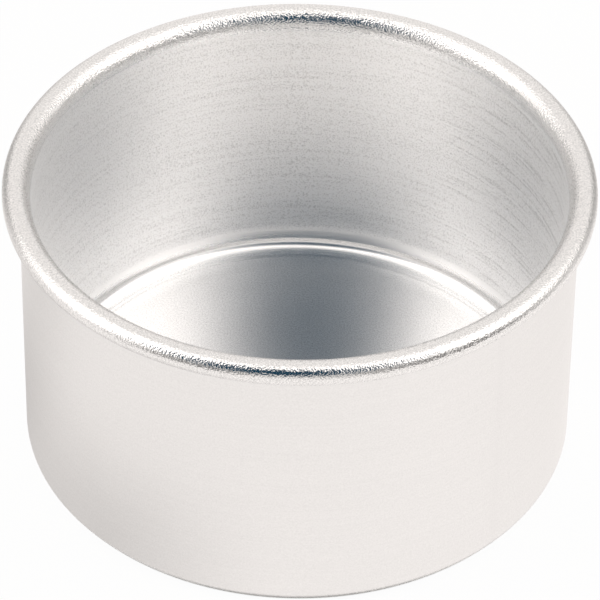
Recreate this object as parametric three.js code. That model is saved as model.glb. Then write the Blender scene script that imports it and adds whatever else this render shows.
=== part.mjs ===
// A small round baking cup (a metal ramekin, or one-portion cake pan) drawn from one disc of
// heavy aluminium sheet. The floor, the corner and the straight wall are one seamless cup, and
// its top edge is thinned and rolled outwards round a ring of steel wire to make a stiff rim.
// Millimetres, +Z up. The origin is the centre of the flat underside.

import * as THREE from "three";

// Driving dimensions
const insideDiameter = 76.2; // across the mouth, between the wall's inner faces (3 in)
const overallHeight = 45.2; // from the underside to the top of the rim
const sheetThickness = 1.6; // aluminium sheet of the floor and the wall (14 gauge)
const rolledThickness = 1.0; // the same sheet where it is thinned and rolled over at the rim
const insideCornerRadius = 1.4; // where the floor turns up into the wall, inside the cup
const outsideCornerRadius = 2.0; // the same corner outside, round the flat underside
const wireDiameter = 1.1; // steel wire inside the rolled rim
const wireClearance = 0.15; // radial room between the wire and the sheet rolled round it
const wireEndGap = 1.0; // space left where the two ends of the wire ring meet
const curlEndGap = 0.3; // slit between the sheet's cut edge and the wall's outer face

// Fineness of the round surfaces
const segmentsAround = 72; // steps round the cup's axis
const largestStep = THREE.MathUtils.degToRad(18); // along an arc of the section
const wireSides = 12; // sides of the wire's section

// Sizes that follow from the driving dimensions
const insideRadius = insideDiameter / 2;
const outsideRadius = insideRadius + sheetThickness;
const boreRadius = wireDiameter / 2 + wireClearance;
const beadRadius = boreRadius + rolledThickness;
const shoulderRadius = boreRadius + sheetThickness;
const beadCentreRadius = outsideRadius + boreRadius;
const beadCentreHeight = overallHeight - beadRadius;

// Directions in the section: an arc starts or ends where its surface faces this way.
const outwards = 0;
const upwards = Math.PI / 2;
const inwards = Math.PI;
const downwards = -Math.PI / 2;

// The rolled edge goes over the top, down the outside and back under, until its cut edge nearly
// meets the wall's outer face.
const cutEdge = -Math.acos((curlEndGap - boreRadius) / beadRadius);

// Points of an arc in the section, where x is the radius from the cup's axis and y the height.
function arcPoints(centreRadius, centreHeight, radius, from, to) {
  const steps = Math.ceil(Math.abs(to - from) / largestStep);
  const points = [];
  for (let i = 0; i <= steps; i += 1) {
    const angle = from + ((to - from) * i) / steps;
    const x = centreRadius + radius * Math.cos(angle);
    const y = centreHeight + radius * Math.sin(angle);
    points.push(new THREE.Vector2(x, y));
  }
  return points;
}

// The corner outside, from the underside up to the wall.
function outsideCorner() {
  const centreRadius = outsideRadius - outsideCornerRadius;
  return arcPoints(centreRadius, outsideCornerRadius, outsideCornerRadius, downwards, outwards);
}

// The corner inside, from the wall down to the floor.
function insideCorner() {
  const centreRadius = insideRadius - insideCornerRadius;
  const centreHeight = sheetThickness + insideCornerRadius;
  return arcPoints(centreRadius, centreHeight, insideCornerRadius, outwards, downwards);
}

// The hollow of the rolled edge, from the wall's outer face round to the cut edge.
function curlBore() {
  return arcPoints(beadCentreRadius, beadCentreHeight, boreRadius, inwards, cutEdge);
}

// The round outside of the rolled edge, from the cut edge to the top of the rim.
function curlBead() {
  return arcPoints(beadCentreRadius, beadCentreHeight, beadRadius, cutEdge, upwards);
}

// The wider bend from the top of the rim to the wall's inner face, where the sheet thickens.
function innerShoulder() {
  const centreHeight = overallHeight - shoulderRadius;
  return arcPoints(beadCentreRadius, centreHeight, shoulderRadius, upwards, inwards).slice(1);
}

// The sheet's section: out along the underside, up the outer face and round the inside of the
// curl to the cut edge, then back over the rim, down the inner face and in along the floor.
function sheetSection() {
  return [
    new THREE.Vector2(0, 0),
    ...outsideCorner(),
    ...curlBore(),
    ...curlBead(),
    ...innerShoulder(),
    ...insideCorner(),
    new THREE.Vector2(0, sheetThickness),
  ];
}

// The drawn cup with its rolled rim. The section is turned round +Y and then stood up along +Z.
function cupShell() {
  const geometry = new THREE.LatheGeometry(sheetSection(), segmentsAround);
  geometry.rotateX(Math.PI / 2);
  const aluminium = new THREE.MeshStandardMaterial({
    color: 0xe3e1de,
    roughness: 0.34,
    metalness: 1,
  });
  const mesh = new THREE.Mesh(geometry, aluminium);
  mesh.name = "cup_shell";
  return mesh;
}

// The wire's centre line: a flat ring that stops short of closing by the gap between its ends.
class WireLine extends THREE.Curve {
  getPoint(share, target = new THREE.Vector3()) {
    const gapAngle = wireEndGap / beadCentreRadius;
    const angle = gapAngle / 2 + share * (2 * Math.PI - gapAngle);
    return target.set(beadCentreRadius * Math.cos(angle), beadCentreRadius * Math.sin(angle), 0);
  }
}

// The steel wire that the rim is rolled round.
function rimWire() {
  const section = new THREE.Shape();
  section.absarc(0, 0, wireDiameter / 2, 0, 2 * Math.PI);
  const geometry = new THREE.ExtrudeGeometry(section, {
    curveSegments: wireSides / 2, // a full circle gets two sides for each of these
    steps: segmentsAround,
    extrudePath: new WireLine(),
  });
  const steel = new THREE.MeshStandardMaterial({
    color: 0x9c9ea0,
    roughness: 0.45,
    metalness: 1,
  });
  const mesh = new THREE.Mesh(geometry, steel);
  mesh.position.z = beadCentreHeight;
  mesh.name = "rim_wire";
  return mesh;
}

const bakingCup = new THREE.Group();
bakingCup.add(cupShell(), rimWire());

export default bakingCup;
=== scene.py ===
# Looks of a small round baking cup drawn from aluminium sheet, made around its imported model.
# Metres, +Z up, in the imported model's frame. The camera looks along +Y and down into the cup.

import math

import bpy
from mathutils import Matrix, Vector


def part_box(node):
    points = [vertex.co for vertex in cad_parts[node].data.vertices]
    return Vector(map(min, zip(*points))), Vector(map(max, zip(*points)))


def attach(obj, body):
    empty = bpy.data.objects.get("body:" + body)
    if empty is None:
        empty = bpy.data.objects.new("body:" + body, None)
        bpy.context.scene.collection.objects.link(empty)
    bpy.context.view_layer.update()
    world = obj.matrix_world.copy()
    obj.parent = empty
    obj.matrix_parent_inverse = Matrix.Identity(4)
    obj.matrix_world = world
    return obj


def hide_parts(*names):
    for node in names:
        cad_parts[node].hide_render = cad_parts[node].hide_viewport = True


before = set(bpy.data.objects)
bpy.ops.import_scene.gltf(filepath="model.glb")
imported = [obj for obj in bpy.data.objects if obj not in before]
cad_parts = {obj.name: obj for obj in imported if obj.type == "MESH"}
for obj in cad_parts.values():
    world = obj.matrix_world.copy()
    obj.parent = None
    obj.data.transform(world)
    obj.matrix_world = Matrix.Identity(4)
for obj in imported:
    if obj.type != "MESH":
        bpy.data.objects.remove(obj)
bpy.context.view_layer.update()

CUP_HIGH = Vector(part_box("cup_shell")[1])

# Sizes of the sheet
INSIDE_RADIUS = 0.0381
SHEET = 0.0016
ROLLED_SHEET = 0.001  # thinned where it is rolled over at the rim
INSIDE_CORNER = 0.0014  # radius between the floor and the wall, inside the cup
OUTSIDE_CORNER = 0.002  # radius round the flat underside
CURL_END_GAP = 0.0003  # slit between the sheet's cut edge and the wall
EDGE_ROUNDING = 0.00008  # burr-free rounding on the cut edge
HEIGHT = CUP_HIGH.z
OUTSIDE_RADIUS = INSIDE_RADIUS + SHEET
BORE_RADIUS = (CUP_HIGH.x - OUTSIDE_RADIUS - ROLLED_SHEET) / 2
BEAD_RADIUS = BORE_RADIUS + ROLLED_SHEET
SHOULDER_RADIUS = BORE_RADIUS + SHEET
BEAD_CENTRE = (OUTSIDE_RADIUS + BORE_RADIUS, HEIGHT - BEAD_RADIUS)
SHOULDER_CENTRE = (BEAD_CENTRE[0], HEIGHT - SHOULDER_RADIUS)
OUTSIDE_CORNER_CENTRE = (OUTSIDE_RADIUS - OUTSIDE_CORNER, OUTSIDE_CORNER)
INSIDE_CORNER_CENTRE = (INSIDE_RADIUS - INSIDE_CORNER, SHEET + INSIDE_CORNER)

# Faint ridges that the drawing punch's edge leaves round the floor
FLOOR_MARKS = (0.0356, 0.0349)
MARK_WIDTH = 0.0003
MARK_HEIGHT = 0.00003

# Fineness of the turned surface
SEGMENTS = 288
WALL_STEP = 0.0009
FLOOR_STEP = 0.0018
CORNER_STEPS = 14
BEAD_STEPS = 44
SHOULDER_STEPS = 24
BORE_STEPS = 28

# Zones of the sheet that have a finish of their own
FINISH_ZONES = ("inside", "outside", "rim", "corner", "floor")
SMOOTH_FOOT = 0.0012  # height of the smoother band at the wall's foot
FINISH_FADE = 0.0012  # over which the finish of the wall, rim or floor fades into the next

# The aluminium, by zone
METAL = (0.957, 0.956, 0.954)
FLOOR_TONE = 0.06  # the floor is a little duller
RIM_TONE = 0.05  # and so is the rim
WALL_ROUGHNESS = 0.36
CORNER_ROUGHNESS = 0.27
FLOOR_ROUGHNESS = 0.235
RIM_ROUGHNESS = 0.16
ANISOTROPY = 0.65  # rougher round the cup than up its wall
OUTSIDE_SHARE = 0.18  # how much of the inside wall's grain the outside has

# Its grain: cells of noise in a metre, how far it changes the brightness, and how high it stands
SAND_CELLS = 4400
SAND_TONE = 0.75
SAND_HEIGHT = 0.00001
FLOOR_SAND = 0.8  # how much of the wall's sand the floor has
RIM_SAND = 0.6
PEBBLE_CELLS = 4200
PEBBLE_HEIGHT = 0.00007
SHOULDER_HEIGHT = 0.000025  # the pebbles stand higher by this on the rim's inner round
SHOULDER_FADE = 0.0012
WAVE_CELLS = 70
WAVE_HEIGHT = 0.00003
RING_CELLS = 40
RING_STRETCH = 50  # cells up the wall for one round it
RING_TONE = 0.3
RING_HEIGHT = 0.000006
RING_GLOSS = 0.06
LINE_CELLS = 90
LINE_STRETCH = 20
LINE_NOISE = (0.5, 0.72)  # from where a single line starts to show to where it is full
LINE_TONE = 0.17
LINE_SIDE = (0.012, 0.03)  # the single lines fade in over this stretch of X, to the right
LINE_LEFT_SHARE = 0.15  # what is left of them at the left

# The steel wire inside the rim
WIRE_DARK = (0.5, 0.51, 0.53, 1)
WIRE_PALE = (0.63, 0.64, 0.65, 1)
WIRE_CELLS = 900
WIRE_SPECKS = (0.3, 0.7)
WIRE_ROUGHNESS = (0.38, 0.52)
WIRE_BUMP = 0.4
WIRE_SPECK_HEIGHT = 0.00003

# White paper under the cup. The camera sees it as white, with the line of shadow under the cup
PAPER_HALF_SIZE = 2.5
PAPER_DROP = 0.0001
PAPER_COLOUR = (0.9, 0.895, 0.885, 1)
PAPER_SEEN = 0.95  # share of plain white that the camera sees, past the line of shadow
PAPER_SEEN_SPAN = (-0.00125, -0.00095)  # the shadow's end, from the outside wall outwards
PAPER_MIRRORED = 0.9  # the same share in the metal
PAPER_MIRRORED_SPAN = (-0.0006, 0.0005)

# The paper as the metal reflects it, warmer and with painted soft shades and painted light. Spans are
# distances from the outside wall, and angles are from the camera's side, positive to the left.
PAPER_IN_METAL = 0.95
PAPER_TINT = (1.0, 0.955, 0.928, 1)
FOOT_SHADE = 0.26  # painted shadow of the cup, at the left, close to it
FOOT_SPAN = (0.0, 0.03)
FOOT_RISE = (0.0, math.radians(45))
FOOT_FALL = (math.radians(110), math.radians(170))
SIDE_SHADE = 0.22  # painted shadow of the cup, at the left, further out
SIDE_SPAN = (0.03, 0.08)
SIDE_ANGLE = math.radians(100)
SIDE_HALF_WIDTH = math.radians(30)
FAR_SHADE = 0.5  # painted shade behind the cup, at both sides
FAR_SPAN = (0.04, 0.12)
FAR_ANGLE = math.radians(135)
FAR_HALF_WIDTH = math.radians(40)
RIGHT_GAIN = 0.05  # painted light, brighter at the right
RIGHT_RISE = (math.radians(-170), math.radians(-110))
RIGHT_FALL = (math.radians(-50), 0.0)
GAP_SHADE = 0.85  # painted shade far out, under the two gaps in the studio's light
GAP_SPAN = (0.09, 0.3)

# The studio: a pale room with a soft panel at each side, darker low down and behind the cup, and a
# dark oval opening round the camera. Angles in the panels are degrees. Azimuths are from the
# camera's side, positive to the right, and each half width is where a panel has faded out.
ROOM_LEVEL = 1.0
ROOM_TINT = (1.0, 0.957, 0.925)
LEFT_PANEL = {"level": 0.95, "azimuth": -80, "half_width": 58, "elevation": 49, "half_height": 74}
RIGHT_PANEL = {"level": 0.84, "azimuth": 77, "half_width": 64, "elevation": 51, "half_height": 74}
RIGHT_GAP = {"level": -1.0, "azimuth": 58, "half_width": 78, "elevation": 5, "half_height": 32}
LEFT_GAP = {"level": -0.9, "azimuth": -38, "half_width": 38, "elevation": 3, "half_height": 32}
BACK_FLAG = {"level": -0.65, "azimuth": 136, "half_width": 40, "elevation": 3, "half_height": 26}
BACK_LEVEL = -0.13
BACK_HALF_WIDTH = math.radians(115)
OPENING_AZIMUTH = math.radians(-7.5)
OPENING_ELEVATION = math.radians(40)
OPENING_HALF_WIDTH = math.radians(33)
OPENING_HALF_HEIGHT = math.radians(29)
OPENING_SOFTNESS = 0.38
OPENING_COLOUR = (0.004, 0.04, 0.075, 1)
WHITE = (1, 1, 1, 1)
BOUNCES = 24  # reflections that light may make, because it makes many inside the cup

# The camera of the photo, which is taken as 600 pixels across
IMAGE_SIZE = 600
SENSOR = 36.0
FOCAL_PIXELS = 4618
CAMERA_DISTANCE = 0.6809
CAMERA_ELEVATION = math.radians(41.52)
CAMERA_ROLL = math.radians(0.78)
CAMERA_TARGET = Vector((0.000227, 0.0, 0.02241))
CAMERA_NEAREST = 0.01


def lerp(first, last, share):
    """The value at a share of the way from first to last."""
    return first + (last - first) * share


def straight(first, last, step):
    """Section points from first up to, not including, last, about a step apart."""
    count = max(1, round(math.dist(first, last) / step))
    shares = [i / count for i in range(count)]
    return [(lerp(first[0], last[0], share), lerp(first[1], last[1], share)) for share in shares]


def on_circle(centre, radius, angle):
    """The section point at an angle round a centre."""
    return (centre[0] + radius * math.cos(angle), centre[1] + radius * math.sin(angle))


def arc(centre, radius, start, end, steps):
    """Section points of an arc, both ends included."""
    return [on_circle(centre, radius, lerp(start, end, i / steps)) for i in range(steps + 1)]


def floor_points(start):
    """Section points along the floor's top, from start to the axis, with its ring marks."""
    points = []
    for radius in FLOOR_MARKS:
        outer = (radius + MARK_WIDTH / 2, SHEET)
        points += straight(start, outer, FLOOR_STEP)
        points += [outer, (radius, SHEET + MARK_HEIGHT)]
        start = (radius - MARK_WIDTH / 2, SHEET)
    points += straight(start, (0, SHEET), FLOOR_STEP)
    return points[1:] + [(0, SHEET)]


def sheet_section():
    """The closed section of the sheet as (radius, height) points, and the zone of each point."""
    cut = -math.acos((CURL_END_GAP - BORE_RADIUS) / BEAD_RADIUS)
    quarter = math.pi / 2
    outer_corner = arc(OUTSIDE_CORNER_CENTRE, OUTSIDE_CORNER, -quarter, 0, CORNER_STEPS)
    inner_corner = arc(INSIDE_CORNER_CENTRE, INSIDE_CORNER, 0, -quarter, CORNER_STEPS)
    bore = arc(BEAD_CENTRE, BORE_RADIUS, math.pi, cut, BORE_STEPS)
    cut_edge = [
        on_circle(BEAD_CENTRE, BORE_RADIUS + EDGE_ROUNDING, cut),
        on_circle(BEAD_CENTRE, BEAD_RADIUS - EDGE_ROUNDING, cut),
    ]
    bead = arc(BEAD_CENTRE, BEAD_RADIUS, cut, quarter, BEAD_STEPS)
    shoulder = arc(SHOULDER_CENTRE, SHOULDER_RADIUS, quarter, math.pi, SHOULDER_STEPS)[1:]
    foot = (INSIDE_RADIUS, inner_corner[0][1] + SMOOTH_FOOT)
    stretches = [
        ("underside", straight((0, 0), outer_corner[0], FLOOR_STEP)),
        ("outside", outer_corner),
        ("outside", straight(outer_corner[-1], bore[0], WALL_STEP)[1:]),
        ("bore", bore),
        ("bore", cut_edge),
        ("rim", bead),
        ("rim", shoulder),
        ("inside", straight(shoulder[-1], foot, WALL_STEP)[1:]),
        ("corner", straight(foot, inner_corner[0], WALL_STEP)),
        ("corner", inner_corner),
        ("floor", floor_points(inner_corner[-1])),
    ]
    points = [point for _, stretch in stretches for point in stretch]
    zones = [zone for zone, stretch in stretches for _ in stretch]
    return points, zones


def turned_mesh(name, points):
    """A closed mesh of the section turned round the cup's axis, with its ends on the axis."""
    vertices = []
    rings = []
    for radius, height in points:
        if radius == 0:
            rings.append([len(vertices)] * SEGMENTS)
            vertices.append((0, 0, height))
            continue
        rings.append(list(range(len(vertices), len(vertices) + SEGMENTS)))
        for i in range(SEGMENTS):
            angle = 2 * math.pi * i / SEGMENTS
            vertices.append((radius * math.cos(angle), radius * math.sin(angle), height))
    faces = []
    for low, high in zip(rings, rings[1:]):
        for i in range(SEGMENTS):
            j = (i + 1) % SEGMENTS
            corners = [low[i], low[j], high[j], high[i]]
            faces.append(list(dict.fromkeys(corners)))
    mesh = bpy.data.meshes.new(name)
    mesh.from_pydata(vertices, [], faces)
    mesh.polygons.foreach_set("use_smooth", [True] * len(mesh.polygons))
    mesh.validate()
    return mesh, rings


def set_attribute(mesh, rings, name, values):
    """Give every point of a ring the ring's value."""
    layer = mesh.attributes.new(name, "FLOAT", "POINT")
    for ring, value in zip(rings, values):
        for index in ring:
            layer.data[index].value = value


def faded(run, zones, name):
    """1 well inside the named zone and 0 outside it, with a soft step at its ends."""
    others = [place for place, zone in zip(run, zones) if zone != name]
    values = []
    for place, zone in zip(run, zones):
        share = 0.0
        if zone == name:
            share = min(1.0, min(abs(place - other) for other in others) / FINISH_FADE)
        values.append(share * share * (3 - 2 * share))
    return values


def node(tree, kind, settings=None, inputs=None):
    """Add a shader node, with its settings, and its inputs as values or linked sockets."""
    made = tree.nodes.new(kind)
    for key, value in (settings or {}).items():
        setattr(made, key, value)
    for key, value in (inputs or {}).items():
        if isinstance(value, bpy.types.NodeSocket):
            tree.links.new(value, made.inputs[key])
        else:
            made.inputs[key].default_value = value
    return made


def math_node(tree, operation, *values):
    """The result of one operation on values or sockets."""
    return node(tree, "ShaderNodeMath", {"operation": operation}, dict(enumerate(values))).outputs[0]


def product(tree, *values):
    """All the values multiplied."""
    result = values[0]
    for value in values[1:]:
        result = math_node(tree, "MULTIPLY", result, value)
    return result


def total(tree, *values):
    """All the values added."""
    result = values[0]
    for value in values[1:]:
        result = math_node(tree, "ADD", result, value)
    return result


def ramp(tree, value, low, high, to_low=0.0, to_high=1.0):
    """A smooth step from to_low to to_high, as the value goes from low to high."""
    inputs = {"Value": value, "From Min": low, "From Max": high, "To Min": to_low, "To Max": to_high}
    return node(tree, "ShaderNodeMapRange", {"interpolation_type": "SMOOTHSTEP"}, inputs).outputs[0]


def bump_round(tree, value, centre, half_width):
    """1 at the centre, falling smoothly to 0 at the half width on both sides."""
    away = math_node(tree, "ABSOLUTE", math_node(tree, "SUBTRACT", value, centre))
    return ramp(tree, away, 0.0, half_width, 1.0, 0.0)


def noise(tree, vector, cells, detail=2.0, roughness=0.5):
    """Noise from 0 to 1, with its cells in a metre."""
    inputs = {"Vector": vector, "Scale": cells, "Detail": detail, "Roughness": roughness}
    return node(tree, "ShaderNodeTexNoise", None, inputs).outputs[0]


def centred(tree, value):
    """A noise moved to lie round 0."""
    return math_node(tree, "SUBTRACT", value, 0.5)


def mixed(tree, factor, first, second):
    """A colour between two colours."""
    inputs = {"Factor": factor, "A": first, "B": second}
    return node(tree, "ShaderNodeMix", {"data_type": "RGBA"}, inputs).outputs["Result"]


def tinted(tree, level, tint):
    """A colour from a level and a tint."""
    channels = {i: product(tree, level, tint[i]) for i in range(3)}
    return node(tree, "ShaderNodeCombineColor", None, channels).outputs[0]


def dot(tree, vector, axis):
    """How far a vector goes along an axis."""
    made = node(tree, "ShaderNodeVectorMath", {"operation": "DOT_PRODUCT"}, {0: vector, 1: axis})
    return made.outputs["Value"]


def coordinates(tree, vector):
    """The X, Y and Z of a vector."""
    return node(tree, "ShaderNodeSeparateXYZ", None, {0: vector}).outputs


def axis_distance(tree, parts):
    """Distance from the cup's axis."""
    squares = total(tree, product(tree, parts[0], parts[0]), product(tree, parts[1], parts[1]))
    return math_node(tree, "SQRT", squares)


def attribute(tree, name):
    """A value that the mesh's points carry."""
    return node(tree, "ShaderNodeAttribute", {"attribute_name": name}).outputs["Fac"]


def new_material(name):
    """An empty material, its tree and the place on the object."""
    material = bpy.data.materials.new(name)
    material.use_nodes = True
    tree = material.node_tree
    tree.nodes.clear()
    return material, tree, node(tree, "ShaderNodeTexCoord").outputs["Object"]


def round_place(tree, parts, stretch):
    """A place for noise that is drawn out round the cup: the sheet's run, stretched, is its Z."""
    run = product(tree, attribute(tree, "run"), stretch)
    return node(tree, "ShaderNodeCombineXYZ", None, {0: parts[0], 1: parts[1], 2: run}).outputs[0]


def single_lines(tree, parts):
    """Single darker lines round the cup, mostly on its right side."""
    lines = noise(tree, round_place(tree, parts, LINE_STRETCH), LINE_CELLS, detail=1.0)
    side = ramp(tree, parts[0], *LINE_SIDE, LINE_LEFT_SHARE, 1.0)
    return product(tree, ramp(tree, lines, *LINE_NOISE), side)


def satin_aluminium():
    """Drawn aluminium: a sandy wall with faint lines round it, a pebbly rim, a smoother floor."""
    material, tree, place = new_material("satin_aluminium")
    parts = coordinates(tree, place)
    inside, outside, rim, corner, floor = [attribute(tree, zone) for zone in FINISH_ZONES]
    rings = centred(tree, noise(tree, round_place(tree, parts, RING_STRETCH), RING_CELLS))
    sand = centred(tree, noise(tree, place, SAND_CELLS, detail=0.5))
    pebbles = noise(tree, place, PEBBLE_CELLS, detail=0.5)
    waves = noise(tree, place, WAVE_CELLS, detail=1.0)
    walls = total(tree, inside, product(tree, outside, OUTSIDE_SHARE))
    sandy = total(tree, walls, product(tree, floor, FLOOR_SAND), product(tree, rim, RIM_SAND))
    crest = BEAD_CENTRE[0]
    inner = ramp(tree, axis_distance(tree, parts), crest - SHOULDER_FADE, crest, 1.0, 0.0)
    tone = total(
        tree,
        1.0,
        product(tree, sand, sandy, SAND_TONE),
        product(tree, rings, walls, RING_TONE),
        product(tree, single_lines(tree, parts), inside, -LINE_TONE),
        product(tree, floor, -FLOOR_TONE),
        product(tree, rim, -RIM_TONE),
    )
    height = total(
        tree,
        product(tree, rings, walls, RING_HEIGHT),
        product(tree, sand, walls, SAND_HEIGHT),
        product(tree, pebbles, rim, PEBBLE_HEIGHT),
        product(tree, pebbles, product(tree, inner, rim), SHOULDER_HEIGHT),
        product(tree, waves, WAVE_HEIGHT),
    )
    bump = node(tree, "ShaderNodeBump", None, {"Strength": 1.0, "Distance": 1.0, "Height": height})
    roughness = total(
        tree,
        WALL_ROUGHNESS,
        product(tree, rings, RING_GLOSS),
        product(tree, floor, FLOOR_ROUGHNESS - WALL_ROUGHNESS),
        product(tree, rim, RIM_ROUGHNESS - WALL_ROUGHNESS),
        product(tree, corner, CORNER_ROUGHNESS - WALL_ROUGHNESS),
    )
    round_axis = node(tree, "ShaderNodeTangent", {"direction_type": "RADIAL", "axis": "Z"})
    inputs = {
        "Base Color": tinted(tree, tone, METAL),
        "Metallic": 1.0,
        "Roughness": roughness,
        "Anisotropic": ANISOTROPY,
        "Tangent": round_axis.outputs[0],
        "Normal": bump.outputs[0],
    }
    shader = node(tree, "ShaderNodeBsdfPrincipled", None, inputs)
    node(tree, "ShaderNodeOutputMaterial", None, {0: shader.outputs[0]})
    return material


def drawn_wire():
    """Dull drawn steel with small specks of a paler colour."""
    material, tree, place = new_material("steel_wire")
    specks = noise(tree, place, WIRE_CELLS, detail=3.0, roughness=0.6)
    relief = {"Strength": WIRE_BUMP, "Distance": WIRE_SPECK_HEIGHT, "Height": specks}
    inputs = {
        "Base Color": mixed(tree, specks, WIRE_DARK, WIRE_PALE),
        "Metallic": 1.0,
        "Roughness": ramp(tree, specks, *WIRE_SPECKS, *WIRE_ROUGHNESS),
        "Normal": node(tree, "ShaderNodeBump", None, relief).outputs[0],
    }
    shader = node(tree, "ShaderNodeBsdfPrincipled", None, inputs)
    node(tree, "ShaderNodeOutputMaterial", None, {0: shader.outputs[0]})
    return material


def add_cup():
    """The drawn cup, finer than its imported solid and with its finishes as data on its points."""
    points, zones = sheet_section()
    mesh, rings = turned_mesh("cup", points)
    run = [0.0]
    for first, second in zip(points, points[1:]):
        run.append(run[-1] + math.dist(first, second))
    set_attribute(mesh, rings, "run", run)
    for zone in FINISH_ZONES:
        set_attribute(mesh, rings, zone, faded(run, zones, zone))
    cup = bpy.data.objects.new("cup", mesh)
    bpy.context.scene.collection.objects.link(cup)
    mesh.materials.append(satin_aluminium())
    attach(cup, "root")
    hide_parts("cup_shell")


def dress_wire():
    """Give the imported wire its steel."""
    wire = bpy.data.objects["rim_wire"]
    wire.data.materials.clear()
    wire.data.materials.append(drawn_wire())


def paper_light(tree, leftward, beyond):
    """How bright the metal sees the paper, by the angle to the left and the distance beyond the cup."""
    foot = product(
        tree,
        ramp(tree, beyond, *FOOT_SPAN, FOOT_SHADE, 0.0),
        ramp(tree, leftward, *FOOT_RISE),
        ramp(tree, leftward, *FOOT_FALL, 1.0, 0.0),
    )
    side = product(
        tree,
        bump_round(tree, leftward, SIDE_ANGLE, SIDE_HALF_WIDTH),
        ramp(tree, beyond, *SIDE_SPAN, SIDE_SHADE, SIDE_SHADE / 2),
    )
    far = product(
        tree,
        bump_round(tree, math_node(tree, "ABSOLUTE", leftward), FAR_ANGLE, FAR_HALF_WIDTH),
        ramp(tree, beyond, *FAR_SPAN, 0.0, FAR_SHADE),
    )
    gaps = [
        bump_round(tree, leftward, math.radians(-gap["azimuth"]), math.radians(gap["half_width"]))
        for gap in (RIGHT_GAP, LEFT_GAP)
    ]
    low = product(tree, total(tree, *gaps), ramp(tree, beyond, *GAP_SPAN, 0.0, GAP_SHADE))
    right = product(
        tree,
        ramp(tree, leftward, *RIGHT_FALL, RIGHT_GAIN, 0.0),
        ramp(tree, leftward, *RIGHT_RISE),
    )
    gain = math_node(tree, "ADD", 1.0, right)
    kept = [math_node(tree, "SUBTRACT", 1.0, shade) for shade in (far, low, foot, side)]
    return product(tree, PAPER_IN_METAL, gain, *kept)


def white_paper():
    """Paper that is nearly white to the camera, keeps the cup's shadow and has painted shades in the
    metal.
    """
    material, tree, place = new_material("floor_paper")
    parts = coordinates(tree, place)
    left = math_node(tree, "MULTIPLY", parts[0], -1.0)
    front = math_node(tree, "MULTIPLY", parts[1], -1.0)
    leftward = math_node(tree, "ARCTAN2", left, front)
    beyond = math_node(tree, "SUBTRACT", axis_distance(tree, parts), OUTSIDE_RADIUS)
    path = node(tree, "ShaderNodeLightPath").outputs
    camera = path["Is Camera Ray"]
    mirrored = math_node(tree, "MAXIMUM", path["Is Glossy Ray"], path["Is Transmission Ray"])
    colour = mixed(tree, camera, PAPER_TINT, WHITE)
    strength = math_node(tree, "MAXIMUM", paper_light(tree, leftward, beyond), camera)
    paper = node(tree, "ShaderNodeBsdfDiffuse", None, {"Color": PAPER_COLOUR})
    white = node(tree, "ShaderNodeEmission", None, {"Color": colour, "Strength": strength})
    share = total(
        tree,
        product(tree, camera, PAPER_SEEN, ramp(tree, beyond, *PAPER_SEEN_SPAN)),
        product(tree, mirrored, PAPER_MIRRORED, ramp(tree, beyond, *PAPER_MIRRORED_SPAN)),
    )
    inputs = {0: share, 1: paper.outputs[0], 2: white.outputs[0]}
    mix = node(tree, "ShaderNodeMixShader", None, inputs)
    node(tree, "ShaderNodeOutputMaterial", None, {0: mix.outputs[0]})
    return material


def add_floor():
    """A sheet of paper under the cup."""
    half = PAPER_HALF_SIZE
    corners = [(-half, -half, 0), (half, -half, 0), (half, half, 0), (-half, half, 0)]
    mesh = bpy.data.meshes.new("floor")
    mesh.from_pydata(corners, [], [(0, 1, 2, 3)])
    floor = bpy.data.objects.new("floor", mesh)
    floor.location.z = -PAPER_DROP
    bpy.context.scene.collection.objects.link(floor)
    mesh.materials.append(white_paper())


def panel(tree, azimuth, elevation, sizes):
    """The light that a soft panel adds, or takes away where its level is below 0."""
    wide = bump_round(tree, azimuth, math.radians(sizes["azimuth"]), math.radians(sizes["half_width"]))
    middle = math.radians(sizes["elevation"])
    high = bump_round(tree, elevation, middle, math.radians(sizes["half_height"]))
    return product(tree, wide, high, sizes["level"])


def dark_opening(tree, direction):
    """1 in the dark part of the room and 0 outside it, with a soft oval edge."""
    flat = math.cos(OPENING_ELEVATION)
    ahead = Vector((flat * math.sin(OPENING_AZIMUTH), -flat * math.cos(OPENING_AZIMUTH), 0))
    ahead.z = math.sin(OPENING_ELEVATION)
    right = Vector((math.cos(OPENING_AZIMUTH), math.sin(OPENING_AZIMUTH), 0))
    above = right.cross(ahead)
    across = math_node(tree, "ARCSINE", dot(tree, direction, right))
    over = math_node(tree, "ARCTAN2", dot(tree, direction, above), dot(tree, direction, ahead))
    wide = math_node(tree, "POWER", math_node(tree, "DIVIDE", across, OPENING_HALF_WIDTH), 2.0)
    high = math_node(tree, "POWER", math_node(tree, "DIVIDE", over, OPENING_HALF_HEIGHT), 2.0)
    reach = math_node(tree, "SQRT", math_node(tree, "ADD", wide, high))
    return ramp(tree, reach, 1 - OPENING_SOFTNESS, 1 + OPENING_SOFTNESS, 1.0, 0.0)


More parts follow.
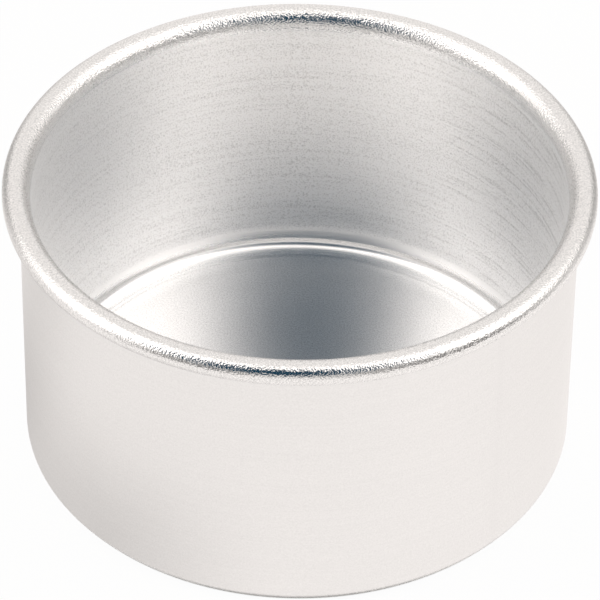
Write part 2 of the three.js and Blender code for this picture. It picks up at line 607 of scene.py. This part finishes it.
def add_studio():
    """A world of soft light, which the camera itself sees as plain white."""
    world = bpy.data.worlds.new("studio")
    bpy.context.scene.world = world
    world.use_nodes = True
    tree = world.node_tree
    tree.nodes.clear()
    direction = node(tree, "ShaderNodeTexCoord").outputs["Generated"]
    parts = coordinates(tree, direction)
    forward = math_node(tree, "MULTIPLY", parts[1], -1.0)
    azimuth = math_node(tree, "ARCTAN2", parts[0], forward)
    elevation = math_node(tree, "ARCSINE", parts[2])
    turned_away = math_node(tree, "ABSOLUTE", azimuth)
    level = total(
        tree,
        ROOM_LEVEL,
        panel(tree, azimuth, elevation, LEFT_PANEL),
        panel(tree, azimuth, elevation, RIGHT_PANEL),
        product(tree, bump_round(tree, turned_away, math.pi, BACK_HALF_WIDTH), BACK_LEVEL),
        panel(tree, turned_away, elevation, BACK_FLAG),
        panel(tree, azimuth, elevation, RIGHT_GAP),
        panel(tree, azimuth, elevation, LEFT_GAP),
    )
    room = mixed(tree, dark_opening(tree, direction), tinted(tree, level, ROOM_TINT), OPENING_COLOUR)
    seen = node(tree, "ShaderNodeLightPath").outputs["Is Camera Ray"]
    inputs = {"Color": mixed(tree, seen, room, WHITE), "Strength": 1.0}
    background = node(tree, "ShaderNodeBackground", None, inputs)
    node(tree, "ShaderNodeOutputWorld", None, {0: background.outputs[0]})


def add_camera():
    """The photo's camera, turned a little about the line of sight."""
    place = CAMERA_DISTANCE * Vector((0, -math.cos(CAMERA_ELEVATION), math.sin(CAMERA_ELEVATION)))
    ahead = (CAMERA_TARGET - place).normalized()
    level = ahead.cross(Vector((0, 0, 1))).normalized()
    upright = level.cross(ahead)
    right = math.cos(CAMERA_ROLL) * level + math.sin(CAMERA_ROLL) * upright
    up = right.cross(ahead)
    turn = Matrix((right, up, -ahead)).transposed().to_4x4()
    data = bpy.data.cameras.new("camera")
    data.sensor_width = SENSOR
    data.lens = FOCAL_PIXELS / IMAGE_SIZE * SENSOR
    data.clip_start = CAMERA_NEAREST
    camera = bpy.data.objects.new("camera", data)
    camera.matrix_world = Matrix.Translation(place) @ turn
    bpy.context.scene.collection.objects.link(camera)
    bpy.context.scene.camera = camera


def main():
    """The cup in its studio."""
    scene = bpy.context.scene
    scene.view_settings.view_transform = "Standard"
    scene.cycles.max_bounces = BOUNCES
    scene.cycles.glossy_bounces = BOUNCES
    scene.cycles.blur_glossy = 0.0
    add_camera()
    add_cup()
    dress_wire()
    add_floor()
    add_studio()


main()
